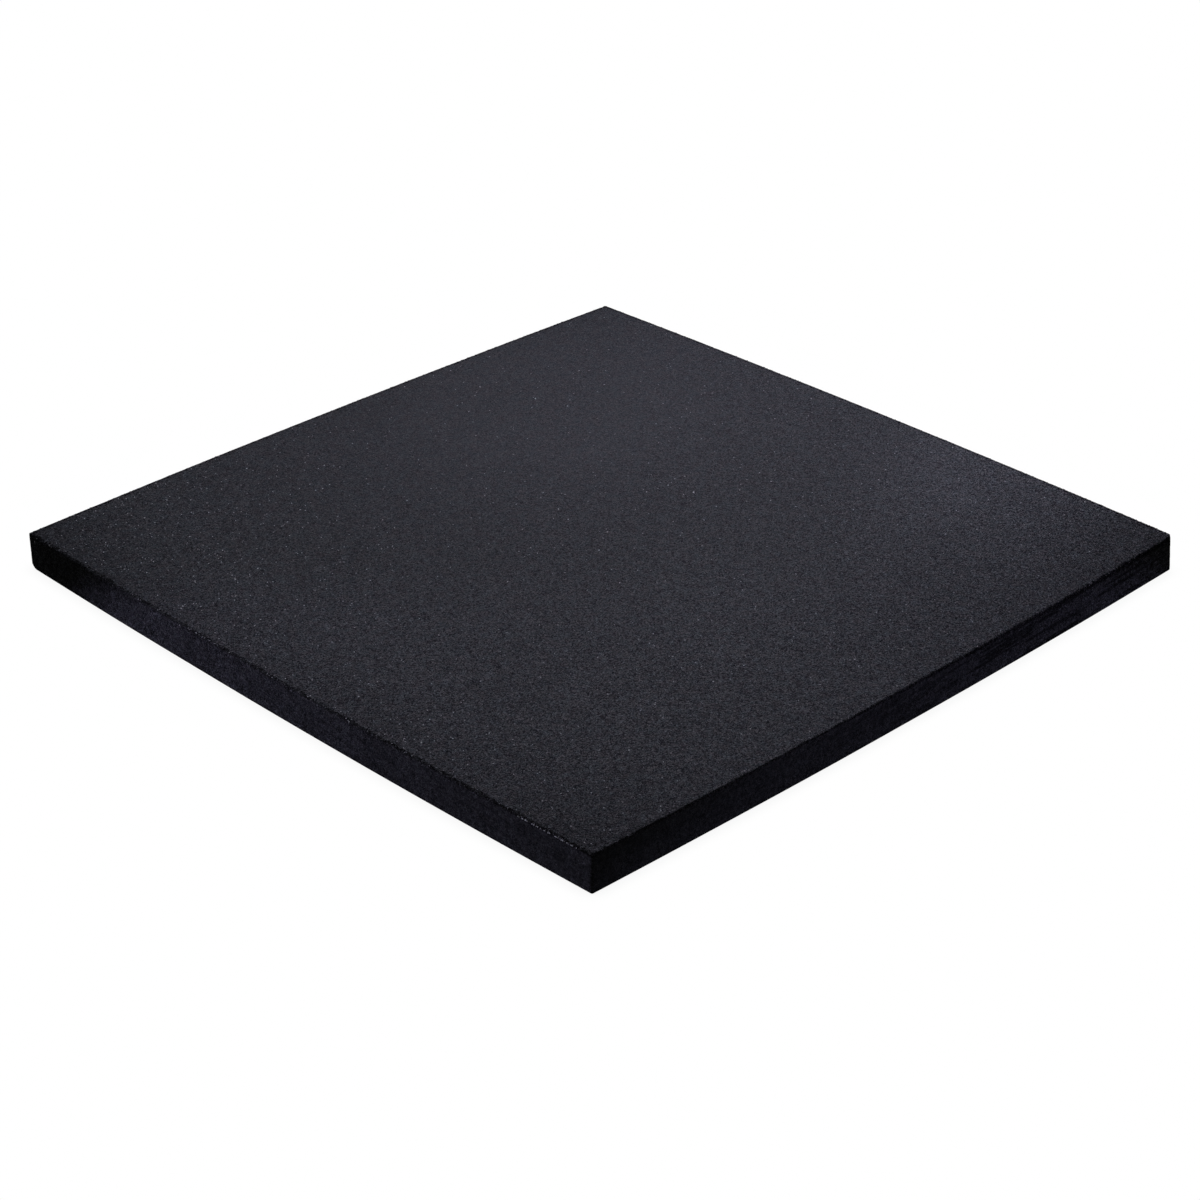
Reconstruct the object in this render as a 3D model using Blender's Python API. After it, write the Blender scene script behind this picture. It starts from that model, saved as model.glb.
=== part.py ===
"""Square stable mat: one slab of rubber crumb, bonded and pressed flat in a mould.

Sizes are in metres, +Z is up, and the origin is the middle of the underside.
"""

import math

import bmesh
import bpy

# Driving dimensions
SIDE = 1.000  # each side, measured between its two corners
THICKNESS = 0.050
BELLY = 0.008  # the pressed slab swells on leaving the mould: each side stands out this far at its middle
CORNER_RADIUS = 0.005  # the four upright corners
TOP_RADIUS = 0.004  # the rim round the tread face
FOOT_RADIUS = 0.002  # the rim round the underside

# How finely the curves are drawn
SIDE_FACETS = 21  # odd, so that the middle facet of a side is square to its axis
CORNER_FACETS = 5
TOP_FACETS = 4
FOOT_FACETS = 2
SMOOTH_BELOW = math.radians(40)

# Black crumb rubber
RUBBER_COLOUR = (0.022, 0.022, 0.026, 1.0)
RUBBER_ROUGHNESS = 0.8


def clear_scene():
    """Removes whatever the file opened with."""
    for found in list(bpy.data.objects):
        bpy.data.objects.remove(found)


def side_points(quarter_turns):
    """The points of one swollen side, from its first corner up to, but not including, its last.

    The side is a shallow circular arc. Its radius follows from the chord and the belly. It is worked
    out for the side that faces -Y and then turned round the slab a quarter at a time.
    """
    half = SIDE / 2
    arc_radius = (half**2 + BELLY**2) / (2 * BELLY)
    centre_y = -half - BELLY + arc_radius
    half_angle = math.asin(half / arc_radius)
    turn = quarter_turns * math.pi / 2
    points = []
    for step in range(SIDE_FACETS):
        angle = half_angle * (2 * step / SIDE_FACETS - 1)
        x = arc_radius * math.sin(angle)
        y = centre_y - arc_radius * math.cos(angle)
        points.append(
            (
                x * math.cos(turn) - y * math.sin(turn),
                x * math.sin(turn) + y * math.cos(turn),
                0.0,
            )
        )
    return points


def rounded(mesh, edges, radius, facets):
    """Rounds the given edges to a quarter circle of this radius."""
    bmesh.ops.bevel(
        mesh,
        geom=edges,
        offset=radius,
        offset_type="OFFSET",
        segments=facets,
        profile=0.5,
        affect="EDGES",
        clamp_overlap=False,
    )


def rim_edges(mesh, height):
    """The edges of the flat face at this height."""
    tolerance = 1e-6
    return [
        edge
        for edge in mesh.edges
        if all(abs(vert.co.z - height) < tolerance for vert in edge.verts)
    ]


def corner_edges(mesh):
    """The four upright edges where two swollen sides meet, which are the furthest ones from the middle."""
    upright = [edge for edge in mesh.edges if edge.verts[0].co.xy == edge.verts[1].co.xy]
    upright.sort(key=lambda edge: edge.verts[0].co.xy.length, reverse=True)
    return upright[:4]


def slab_mesh():
    """The slab: its outline pulled up to the thickness, then the corners and both rims rounded."""
    mesh = bmesh.new()
    outline = [point for quarter in range(4) for point in side_points(quarter)]
    base = mesh.faces.new([mesh.verts.new(point) for point in outline])
    pulled = bmesh.ops.extrude_face_region(mesh, geom=[base])["geom"]
    raised = [item for item in pulled if isinstance(item, bmesh.types.BMVert)]
    bmesh.ops.translate(mesh, verts=raised, vec=(0.0, 0.0, THICKNESS))
    rounded(mesh, corner_edges(mesh), CORNER_RADIUS, CORNER_FACETS)
    rounded(mesh, rim_edges(mesh, THICKNESS), TOP_RADIUS, TOP_FACETS)
    rounded(mesh, rim_edges(mesh, 0.0), FOOT_RADIUS, FOOT_FACETS)
    bmesh.ops.recalc_face_normals(mesh, faces=mesh.faces)
    data = bpy.data.meshes.new("mat")
    mesh.to_mesh(data)
    mesh.free()
    data.shade_smooth()
    data.set_sharp_from_angle(angle=SMOOTH_BELOW)
    return data


def crumb_rubber():
    """Matt black rubber crumb."""
    material = bpy.data.materials.new("crumb_rubber")
    material.use_nodes = True
    shader = material.node_tree.nodes["Principled BSDF"]
    shader.inputs["Base Color"].default_value = RUBBER_COLOUR
    shader.inputs["Roughness"].default_value = RUBBER_ROUGHNESS
    shader.inputs["Metallic"].default_value = 0.0
    return material


def main():
    clear_scene()
    data = slab_mesh()
    data.materials.append(crumb_rubber())
    mat = bpy.data.objects.new("mat", data)
    bpy.context.scene.collection.objects.link(mat)


main()
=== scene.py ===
# %% [markdown]
# # A rubber stable mat
#
# The real mat is a slab of black rubber crumb. Old rubber is ground to granules of two or three
# millimetres, coated with a thin film of resin, poured into a square mould and pressed flat until
# it sets. So there is one piece to model and one material to finish. All the interest is in the
# granules, in the crumbly rim, and in how the slab swells a little when it leaves the mould.
#
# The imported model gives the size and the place. It is loaded first, and nothing here changes it.

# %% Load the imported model
import math
from functools import partial

import bpy
import numpy as np
from mathutils import Matrix, Vector


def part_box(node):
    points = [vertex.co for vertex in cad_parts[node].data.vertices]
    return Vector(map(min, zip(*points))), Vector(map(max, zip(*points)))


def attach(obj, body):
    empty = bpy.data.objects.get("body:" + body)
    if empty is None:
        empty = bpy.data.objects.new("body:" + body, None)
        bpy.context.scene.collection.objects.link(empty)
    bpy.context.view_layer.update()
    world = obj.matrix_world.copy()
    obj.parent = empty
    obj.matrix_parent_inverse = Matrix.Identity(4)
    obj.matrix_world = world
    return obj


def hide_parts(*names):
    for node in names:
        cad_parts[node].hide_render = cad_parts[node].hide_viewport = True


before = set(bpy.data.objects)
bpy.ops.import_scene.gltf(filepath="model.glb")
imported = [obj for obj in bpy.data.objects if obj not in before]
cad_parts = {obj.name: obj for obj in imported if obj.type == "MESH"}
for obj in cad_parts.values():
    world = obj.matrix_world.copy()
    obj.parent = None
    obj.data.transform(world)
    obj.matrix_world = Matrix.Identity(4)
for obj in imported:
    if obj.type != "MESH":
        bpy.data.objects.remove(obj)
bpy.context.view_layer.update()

# %% [markdown]
# ## Sizes
#
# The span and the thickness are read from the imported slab. The belly is how far each side stands
# out at its middle beyond the line between its corners. The three radii are those of the upright
# corners, of the rim round the tread face and of the rim round the underside. The first two are
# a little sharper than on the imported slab, because the crumbly relief rounds them further.

# %% Read the slab's sizes
low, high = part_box("mat")
MM = 0.001
BELLY = 8 * MM
HALF_SIDE = high.x - BELLY
THICKNESS = high.z - low.z
CORNER_RADIUS = 2 * MM
TOP_RADIUS = 3 * MM
FOOT_RADIUS = 2 * MM
print(f"side {2 * HALF_SIDE:.3f} m, thickness {THICKNESS:.3f} m")

# %% [markdown]
# ## The slab seen from above
#
# A filled curve would have no points inside to carry the granular relief. So the plan is a
# formula: it takes a point of a plain square and says where it lies on the slab. Any grid of
# points laid on the square then follows the slab's outline.

# %% Plan of the slab
SHARPEST_CORNER = 0.8 * MM
NEARLY_ZERO = 1e-9


def plan(u, v, inset):
    """Where the point (u, v) of the square from -1 to 1 lies on the slab, seen from above.

    The square is scaled to half the side less the inset. A point that is nearer to a corner than
    the corner radius, both ways, is then pulled towards the centre of that radius: it keeps its
    direction, and its larger distance becomes its distance, so the corner of the square turns
    into a quarter disc. Last, each side swells by the belly times one minus the square of the
    place along it, in proportion to how far out the point is.
    """
    half = HALF_SIDE - inset
    radius = np.maximum(CORNER_RADIUS - inset, SHARPEST_CORNER)
    x = u * half
    y = v * half
    past_x = np.maximum(np.abs(x) - (half - radius), 0.0)
    past_y = np.maximum(np.abs(y) - (half - radius), 0.0)
    in_corner = (past_x > 0) & (past_y > 0)
    pull = np.maximum(past_x, past_y) / np.maximum(np.hypot(past_x, past_y), NEARLY_ZERO)
    x = np.where(in_corner, np.sign(x) * (half - radius + past_x * pull), x)
    y = np.where(in_corner, np.sign(y) * (half - radius + past_y * pull), y)
    return x + BELLY * u * (1 - v**2), y + BELLY * v * (1 - u**2)


# %% [markdown]
# ## The slab's edge
#
# Everything outside the tread face is a matter of one number: how far down from the tread face a
# point lies, measured along the surface. A small drop is on the rounded rim, a larger one on the
# upright side, then come the foot and the underside. The skin's rows, the crumbs on its edge and
# the dark band of its material all use this one measure.

# %% Profile of the edge
RIM_ARC = TOP_RADIUS * math.pi / 2
SIDE_HEIGHT = THICKNESS - TOP_RADIUS - FOOT_RADIUS
FOOT_ARC = FOOT_RADIUS * math.pi / 2
DROP_TO_UNDERSIDE = RIM_ARC + SIDE_HEIGHT + FOOT_ARC


def edge_profile(drop):
    """Inset, height and tilt at a drop. Tilt is the angle from straight up to the facing way.

    The rim is a quarter circle that starts level and ends upright, and the foot is a smaller one
    that starts upright and ends level again. Past the foot the drop only adds to the inset.
    """
    rim_turn = np.clip(drop / RIM_ARC, 0, 1) * math.pi / 2
    foot_turn = np.clip((drop - RIM_ARC - SIDE_HEIGHT) / FOOT_ARC, 0, 1) * math.pi / 2
    below = np.clip(drop - RIM_ARC, 0, SIDE_HEIGHT)
    inset = TOP_RADIUS * (1 - np.sin(rim_turn)) + FOOT_RADIUS * (1 - np.cos(foot_turn))
    inset = inset + np.maximum(drop - DROP_TO_UNDERSIDE, 0)
    height = THICKNESS - TOP_RADIUS * (1 - np.cos(rim_turn)) - below
    height = height - FOOT_RADIUS * np.sin(foot_turn)
    return inset, height, rim_turn + foot_turn


def on_edge(u, v, drop):
    """Points and facing ways at a drop below the border point (u, v) of the tread face.

    The way out, seen from above, leads from the border at the rim's inset to the border at none.
    """
    inset, height, tilt = edge_profile(drop)
    x, y = plan(u, v, inset)
    outer = np.stack(np.broadcast_arrays(*plan(u, v, 0.0)), axis=-1)
    inner = np.stack(np.broadcast_arrays(*plan(u, v, TOP_RADIUS)), axis=-1)
    outward = (outer - inner) / np.linalg.norm(outer - inner, axis=-1, keepdims=True)
    points = np.stack([x, y, np.broadcast_to(height, x.shape)], axis=-1)
    level = outward * np.sin(tilt)[..., None]
    upward = np.broadcast_to(np.cos(tilt)[..., None], level.shape[:-1] + (1,))
    return points, np.concatenate([level, upward], axis=-1)


print(f"{DROP_TO_UNDERSIDE / MM:.1f} mm from the tread face round the edge to the underside")

# %% [markdown]
# ## Noise for the relief
#
# Blender's own noise textures work in materials. For moving the points of a mesh, a small value
# noise in numpy is enough: a random number at each point of a lattice, blended smoothly between
# them. The numbers come from the bits of the lattice indices and are the same on every run.

# %% Value noise
AXIS_MIXERS = np.array(
    [0x9E3779B97F4A7C15, 0xC2B2AE3D27D4EB4F, 0x165667B19E3779F9], dtype=np.uint64
)
FOLDS = ((29, 0xBF58476D1CE4E5B9), (32, 0x94D049BB133111EB))
SEED_STEP = 7919
KEPT_BITS = 24


def lattice_random(cells, seed):
    """A number from 0 to 1 for each row of whole numbers, made by multiplying and folding bits.

    The indices, each times a large odd number of its own, are added. Twice over, the high bits
    are folded onto the low ones and the sum is multiplied again. Its highest bits are kept.
    """
    cells = cells.astype(np.int64).astype(np.uint64)
    mixed = (cells * AXIS_MIXERS).sum(axis=-1) + np.uint64(seed * SEED_STEP + 1)
    for shift, mixer in FOLDS:
        mixed = (mixed ^ (mixed >> np.uint64(shift))) * np.uint64(mixer)
    return (mixed >> np.uint64(64 - KEPT_BITS)).astype(float) / (2**KEPT_BITS - 1)


def value_noise(points, size, seed):
    """Smooth noise from 0 to 1 whose features are as large as size.

    Each point is read against the eight corners of its lattice cell. The weights are three minus
    twice the share, times the share squared, along each axis.
    """
    place = points / np.asarray(size, dtype=float)
    cell = np.floor(place)
    share = place - cell
    share = share * share * (3 - 2 * share)
    total = np.zeros(len(points))
    for corner in np.ndindex(2, 2, 2):
        offset = np.array(corner)
        weight = np.prod(np.where(offset == 1, share, 1 - share), axis=1)
        total += weight * lattice_random(cell + offset, seed)
    return total


# %% [markdown]
# ## The skin of the slab
#
# The skin is one closed mesh. The tread face is a grid on the square. Below its border, rows of
# points run right round the slab: over the rounded rim, down the side, round the foot and in
# under the slab to the middle. Grid lines lie closer together near the sides, where the rim needs
# more points than the flat does.

# %% Grid lines and the drops of the rows
EDGE_STEP = 1.5 * MM
FIELD_STEP = 3.95 * MM
STEP_GROWTH = 1.22
SIDE_STEP = 2.5 * MM
RIM_ROWS = 4
FOOT_ROWS = 2
UNDER_INSETS = np.array([6, 14, 30, 70, 150, 270, 400]) * MM


def graded_lines():
    """Lines from -1 to 1: steps grow from the edge inwards until they reach the field's step."""
    count = math.ceil(math.log(FIELD_STEP / EDGE_STEP) / math.log(STEP_GROWTH))
    from_edge = np.cumsum(EDGE_STEP * STEP_GROWTH ** np.arange(count)) / HALF_SIDE
    field = 1 - from_edge[-1]
    middle = np.linspace(-field, field, 2 * math.ceil(field * HALF_SIDE / FIELD_STEP) + 1)
    inner = 1 - from_edge[:-1]
    return np.concatenate([[-1.0], -inner, middle, inner[::-1], [1.0]])


side_rows = round(SIDE_HEIGHT / SIDE_STEP)
row_drop = np.concatenate(
    [
        np.linspace(0, RIM_ARC, RIM_ROWS + 1)[1:],
        RIM_ARC + np.linspace(0, SIDE_HEIGHT, side_rows + 1)[1:],
        RIM_ARC + SIDE_HEIGHT + np.linspace(0, FOOT_ARC, FOOT_ROWS + 1)[1:],
        DROP_TO_UNDERSIDE + UNDER_INSETS,
    ]
)
lines = graded_lines()
print(f"{len(lines)} grid lines each way, {len(row_drop)} rows below the tread face")

# %% [markdown]
# The points of the grid and of the rows are computed as whole arrays. Each point also gets the way
# it faces, because the relief moves it along that, and its drop. On the tread face the drop counts
# backwards: it is minus the distance to the nearest border.

# %% Points of the skin, the way each one faces, and its drop
count = len(lines)
grid_u, grid_v = np.meshgrid(lines, lines, indexing="ij")
top_x, top_y = plan(grid_u, grid_v, TOP_RADIUS)
top_points = np.stack([top_x, top_y, np.full_like(top_x, THICKNESS)], axis=-1).reshape(-1, 3)
top_facing = np.tile([0.0, 0.0, 1.0], (len(top_points), 1))
top_drop = (np.maximum(np.abs(grid_u), np.abs(grid_v)).reshape(-1) - 1) * HALF_SIDE

number = np.arange(count * count).reshape(count, count)
border = np.concatenate([number[:-1, 0], number[-1, :-1], number[:0:-1, -1], number[0, :0:-1]])
border_u = grid_u.reshape(-1)[border]
border_v = grid_v.reshape(-1)[border]
around = len(border)
row_points, row_facing = on_edge(border_u, border_v, row_drop[:, None])

points = np.concatenate([top_points, row_points.reshape(-1, 3), [[0.0, 0.0, 0.0]]])
facing = np.concatenate([top_facing, row_facing.reshape(-1, 3), [[0.0, 0.0, -1.0]]])
drop = np.concatenate([top_drop, np.repeat(row_drop, around), [row_drop[-1]]])
print(f"{len(points)} points, {around} of them in each row")

# %% [markdown]
# ## Relief
#
# The press leaves the granules of the tread face in one plane, with pits where one is missing or
# lies low. The sides rubbed along the mould wall, so they are smoother and carry faint streaks
# along their length. At the rim the granules have less round them to hold on to, so some break
# away and the edge wavers. All of it goes inwards, because the mould held the slab in.

# %% Sizes of the relief
SINK = 0.35 * MM
PIT_DEPTH = 0.25 * MM
PIT_POWER = 5
SIDE_PIT_DEPTH = 0.25 * MM
SIDE_PIT_POWER = 4
CRUMB_LOSS = 1.1 * MM
LOSS_REACH = 2.6 * MM
LOSS_FROM = 0.4
LOSS_RISE = 2
FAR_SPARED = 0.7
FAR_WIDTH = 10 * MM
CLUMP = 4.5 * MM
LARGE_CLUMP = 13 * MM
LARGE_SHARE = 0.3
STREAK_DEPTH = 0.35 * MM
STREAK_SIZE = (90 * MM, 90 * MM, 2.2 * MM)
STREAK_FROM = 0.62
STREAK_RISE = 2.6
FOOT_CALM = 10 * MM
LEAST_AT_FOOT = 0.15
SWELL = 0.3 * MM
SWELL_SPAN = 160 * MM
DRAWS = 100106  # more than there are points, so that a change of the underside moves no pit
random = np.random.default_rng(41)


def relief(points, drop):
    """How far each point moves along the way it faces. It is never outwards.

    Pits are a high power of an even random number, so most granules lie level and a few lie deep.
    Crumb loss is noise at the size of a few granules, over a threshold, round the rim. It is
    weaker on the two sides that face +X and +Y. Streaks are noise that is forty times as long as
    it is high. They and the pits of the sides fade out towards the foot, whose edge is clean. The
    swell is a slow wave over the whole slab.
    """
    on_side = np.clip(drop / RIM_ARC, 0, 1)
    off_foot = np.clip((DROP_TO_UNDERSIDE - drop) / FOOT_CALM, LEAST_AT_FOOT, 1)
    depth, side_depth = random.random((2, DRAWS))[:, : len(points)]
    pits = depth**PIT_POWER * PIT_DEPTH * (1 - on_side)
    side_pits = side_depth**SIDE_PIT_POWER * SIDE_PIT_DEPTH * on_side * off_foot
    near_rim = np.exp(-(((drop - RIM_ARC / 2) / LOSS_REACH) ** 2))
    far = np.clip((points[:, :2].max(axis=1) - HALF_SIDE) / FAR_WIDTH + 1, 0, 1)
    small = value_noise(points, CLUMP, 1) * (1 - LARGE_SHARE)
    clump = small + value_noise(points, LARGE_CLUMP, 2) * LARGE_SHARE
    loss = np.clip(clump - LOSS_FROM, 0, 1) * LOSS_RISE * CRUMB_LOSS
    loss = loss * near_rim * (1 - FAR_SPARED * far)
    streak = value_noise(points, STREAK_SIZE, 3)
    streak = np.clip(streak - STREAK_FROM, 0, 1) * STREAK_RISE * STREAK_DEPTH
    streak = streak * on_side * off_foot
    swell = value_noise(points, SWELL_SPAN, 4) * SWELL
    inward = SINK + swell + pits + side_pits + loss + streak
    return np.where(drop > DROP_TO_UNDERSIDE, 0.0, -inward)


# %% [markdown]
# On the tread face the points also sway sideways at random, by a part of the grid's step.
# Otherwise the pits would stand in rows. Near the border they keep their place.

# %% Move the points
SWAY = 0.6
SWAY_FREE = 12 * MM

moved = points + facing * relief(points, drop)[:, None]
sway = (random.random((len(top_points), 2)) - 0.5) * SWAY * FIELD_STEP
off_border = np.clip(-top_drop / SWAY_FREE, 0, 1)[:, None]
moved[: len(top_points), :2] += sway * off_border
print(f"deepest pit of the tread face {(THICKNESS - moved[:len(top_points), 2].min()) / MM:.2f} mm")

# %% [markdown]
# ## Two worn corners
#
# One lower corner has lost its point, as happens when a mat is stood on its corner or dragged, and
# one upright corner is rubbed down towards its top. A boolean cut would leave long thin faces
# there. Instead, the points that reach past a slanting plane are laid back onto it, so the skin
# keeps its faces and only its shape changes.

# %% Wear the two corners
FOOT_TIP = np.array([-HALF_SIDE, HALF_SIDE, 0.0])
FOOT_WAY = np.array([-1.0, 1.0, -1.0])
FOOT_WEAR = 5.0 * MM
TOP_TIP = np.array([HALF_SIDE, -HALF_SIDE, THICKNESS])
TOP_WAY = np.array([1.0, -1.0, 0.12])
TOP_WEAR = 5.4 * MM


def worn(points, tip, way, wear):
    """Points laid back onto the plane that faces the way and lies this far behind the tip.

    How far a point is past the plane is the part of its offset from the tip along the way, plus
    the wear. A point that is past it comes straight back by as much.
    """
    way = way / np.linalg.norm(way)
    past = np.maximum((points - tip) @ way + wear, 0)
    return points - past[:, None] * way


before = moved
moved = worn(moved, FOOT_TIP, FOOT_WAY, FOOT_WEAR)
moved = worn(moved, TOP_TIP, TOP_WAY, TOP_WEAR)
print(f"{int((np.abs(moved - before).max(axis=1) > 0).sum())} points laid back at the worn corners")

# %% [markdown]
# ## The dark band
#
# Along the rim the pressed face has crumbled into open crumb, and a ragged dark band is painted
# there: painted shade for the shadow that the crumb's pores hold. It is not the same on all sides.
# On the side that faces -X it is narrow and lies over the rim. On the one that faces -Y it hangs
# below the rim and widens towards +X. On the two others it starts a little way in on the tread face
# and reaches down over the rim. So each point also gets its place in the band, from 0 where the
# band starts to 1 where it ends. The material only has to make the limits ragged.

# %% Place in the painted dark band, with the limits of -Y, -X, +Y and +X as drops
BAND_STARTS = np.array([0.6, -2.4, -3.8, -3.8]) * MM
BAND_ENDS = np.array([9.2, 3.0, 5.0, 5.0]) * MM
NARROWER = 6.6 * MM
WIDENS_AT = 0.45
SIDE_BLEND = 0.012


def band_place(u, v, drop):
    """0 at the start of the band and 1 at its end, by the drop and the limits of the nearest side.

    The four sides are weighed by a power of e that falls off with how much further away than the
    nearest one they are, so the limits change softly round a corner. On -Y the end draws back
    steadily from where the band widens towards -X.
    """
    nearness = np.stack([-v, -u, v, u], axis=-1)
    weight = np.exp((nearness - nearness.max(axis=-1, keepdims=True)) / SIDE_BLEND)
    weight = weight / weight.sum(axis=-1, keepdims=True)
    start = weight @ BAND_STARTS
    end = weight @ BAND_ENDS - weight[..., 0] * NARROWER * np.clip(WIDENS_AT - u, 0, 1)
    return (drop - start) / (end - start)


all_u = np.concatenate([grid_u.reshape(-1), np.tile(border_u, len(row_drop)), [0.0]])
all_v = np.concatenate([grid_v.reshape(-1), np.tile(border_v, len(row_drop)), [0.0]])
band = band_place(all_u, all_v, drop)
print(f"{int(((band > 0) & (band < 1)).sum())} points lie in the bare band")

# %% [markdown]
# The faces of the tread face join neighbouring points of the grid. Below it, each row is joined to
# the next one all the way round, so there is no seam. A fan of triangles closes the underside.

# %% Faces of the skin
top_quads = np.stack(
    [number[:-1, :-1], number[1:, :-1], number[1:, 1:], number[:-1, 1:]], axis=-1
).reshape(-1, 4)
row_numbers = len(top_points) + np.arange(len(row_drop) * around).reshape(-1, around)
ring = np.vstack([border, row_numbers])
next_ring = np.roll(ring, -1, axis=1)
row_quads = np.stack([ring[:-1], ring[1:], next_ring[1:], next_ring[:-1]], axis=-1)
row_quads = row_quads.reshape(-1, 4)
centre = len(points) - 1
fan = np.stack([ring[-1], np.full(around, centre), next_ring[-1]], axis=-1)
print(f"{len(top_quads)} faces on top, {len(row_quads)} round it, and a fan of {len(fan)}")

# %% [markdown]
# ## A map for the finish
#
# A texture baked on the mat needs its faces laid out flat. The tread face fills most of the
# square, the four sides are strips above it, and the underside gets the small space at the right.

# %% Lay the faces out on a map
FACE_ROOM = 0.78
MARGIN = 0.008
UNDER_ROOM = 0.19
span = high.x - low.x
unit = FACE_ROOM / span
strip_rows = int((row_drop < DROP_TO_UNDERSIDE + MM).sum())


def flat_map(corners, room, left, bottom):
    """Places faces on the map by their x and y, scaled so that the slab fills the room."""
    return points[corners][:, :, :2] * (room / span) + [left + room / 2, bottom + room / 2]


def strip_map():
    """Unrolls the sides: along the strip by distance from its corner, across it by the drop."""
    across = np.concatenate([[0.0], row_drop[:strip_rows]]) * unit
    along = (lines + 1) * HALF_SIDE * unit
    rows, places = np.meshgrid(np.arange(strip_rows), np.arange(around), indexing="ij")
    strip = places // (count - 1)
    step = places % (count - 1)
    bottom = FACE_ROOM + 2 * MARGIN + strip * (across[-1] + MARGIN)
    top = bottom + across[-1]
    corners = [(step, rows), (step, rows + 1), (step + 1, rows + 1), (step + 1, rows)]
    mapped = [np.stack([MARGIN + along[s], top - across[r]], axis=-1) for s, r in corners]
    return np.stack(mapped, axis=2).reshape(-1, 4, 2)


under_quads = row_quads[strip_rows * around :]
under_left = 1 - MARGIN - UNDER_ROOM
layout = np.concatenate(
    [
        flat_map(top_quads, FACE_ROOM, MARGIN, MARGIN).reshape(-1, 2),
        strip_map().reshape(-1, 2),
        flat_map(under_quads, UNDER_ROOM, under_left, MARGIN).reshape(-1, 2),
        flat_map(fan, UNDER_ROOM, under_left, MARGIN).reshape(-1, 2),
    ]
)
print(f"map reaches from {layout.min():.3f} to {layout.max():.3f}")

# %% [markdown]
# Points, faces and map go into a mesh as whole arrays. The drop and the place in the band go along
# as one number for each point, for the material to read.

# %% Make the mesh


def new_piece(name, points, faces, layout, values):
    """A mesh object with its map and its number for each point, in the scene and on the body."""
    mesh = bpy.data.meshes.new(name)
    mesh.from_pydata(points.tolist(), [], faces)
    mesh.uv_layers.new(name="OFBake").data.foreach_set("uv", layout.astype(np.float32).reshape(-1))
    for label, numbers in values.items():
        attribute = mesh.attributes.new(label, "FLOAT", "POINT")
        attribute.data.foreach_set("value", numbers.astype(np.float32))
    mesh.calc_loop_triangles()
    print(f"{name}: {len(mesh.vertices)} points, {len(mesh.loop_triangles)} triangles")
    piece = bpy.data.objects.new(name, mesh)
    bpy.context.scene.collection.objects.link(piece)
    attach(piece, "root")
    return piece


skin_faces = top_quads.tolist() + row_quads.tolist() + fan.tolist()
mat = new_piece("crumb_mat", moved, skin_faces, layout, {"drop": drop, "band": band})
mat.data.shade_smooth()
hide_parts("mat")

# %% [markdown]
# ## Standing crumbs
#
# Some granules stand a little proud of the rest, and along the rim whole clusters are bare. Each
# is a small angular block, because rubber is cut or torn to size and keeps its flat facets. They
# are one mesh made from arrays, so a formula decides where each one sits.

# %% Where the crumbs sit
FACE_CRUMBS = 6500
RIM_CRUMBS = 3400
SIDE_CRUMBS = 1200
FACE_REACH = 0.998
RIM_MIDDLE = 0.5
RIM_SPREAD = 0.28
RIM_LAST = 1.3
SIDE_REACH = 0.85
RIM_SHARES = [0.3, 0.5, 0.1, 0.1]
EVEN_SHARES = [0.25, 0.25, 0.25, 0.25]


def border_places(number, shares):
    """Random places on the border of the square, with this share of them on -Y, -X, +Y and +X."""
    along = random.random(number) * 2 - 1
    side = random.choice(4, number, p=shares)
    edge = np.where(side < 2, -1.0, 1.0)
    first = side % 2 == 0
    return np.where(first, along, edge), np.where(first, edge, along)


face_u, face_v = (random.random((2, FACE_CRUMBS)) * 2 - 1) * FACE_REACH
face_x, face_y = plan(face_u, face_v, TOP_RADIUS)
face_seats = np.stack([face_x, face_y, np.full(FACE_CRUMBS, THICKNESS)], axis=-1)
face_up = np.tile([0.0, 0.0, 1.0], (FACE_CRUMBS, 1))
rim_u, rim_v = border_places(RIM_CRUMBS, RIM_SHARES)
rim_share = random.normal(RIM_MIDDLE, RIM_SPREAD, RIM_CRUMBS).clip(0, RIM_LAST)
rim_seats, rim_up = on_edge(rim_u, rim_v, rim_share * RIM_ARC)
side_u, side_v = border_places(SIDE_CRUMBS, EVEN_SHARES)
side_drop = RIM_ARC + random.random(SIDE_CRUMBS) * SIDE_REACH * SIDE_HEIGHT
side_seats, side_up = on_edge(side_u, side_v, side_drop)
print(f"{FACE_CRUMBS} crumbs on the face, {RIM_CRUMBS} on the rim, {SIDE_CRUMBS} on the sides")

# %% [markdown]
# Near the front corner a short row of crumbs along the rim carries a painted highlight, a
# near-white colour, and shines like a string of beads. At the other end of that side a few pale
# specks of dust have settled, and they are made the same way. All seats are worn back at the two
# corners, a little further than the skin, so that no crumb hangs in the air there.

# %% Seats of the beads and of the dust
BEADS = 46
BEAD_FROM = -0.785
BEAD_TO = -0.955
BEAD_SCATTER = 0.004
BEAD_DROP = 0.7 * RIM_ARC
BEAD_RISE = 0.5 * MM
DUST_PLACES = np.array([0.91, 0.965, 0.975])
DUST_DROPS = np.array([3.0, 3.0, 10.0]) * MM
DUST = len(DUST_PLACES)
FOOT_CLEARANCE = 1 * MM
TOP_CLEARANCE = 2 * MM

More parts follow.
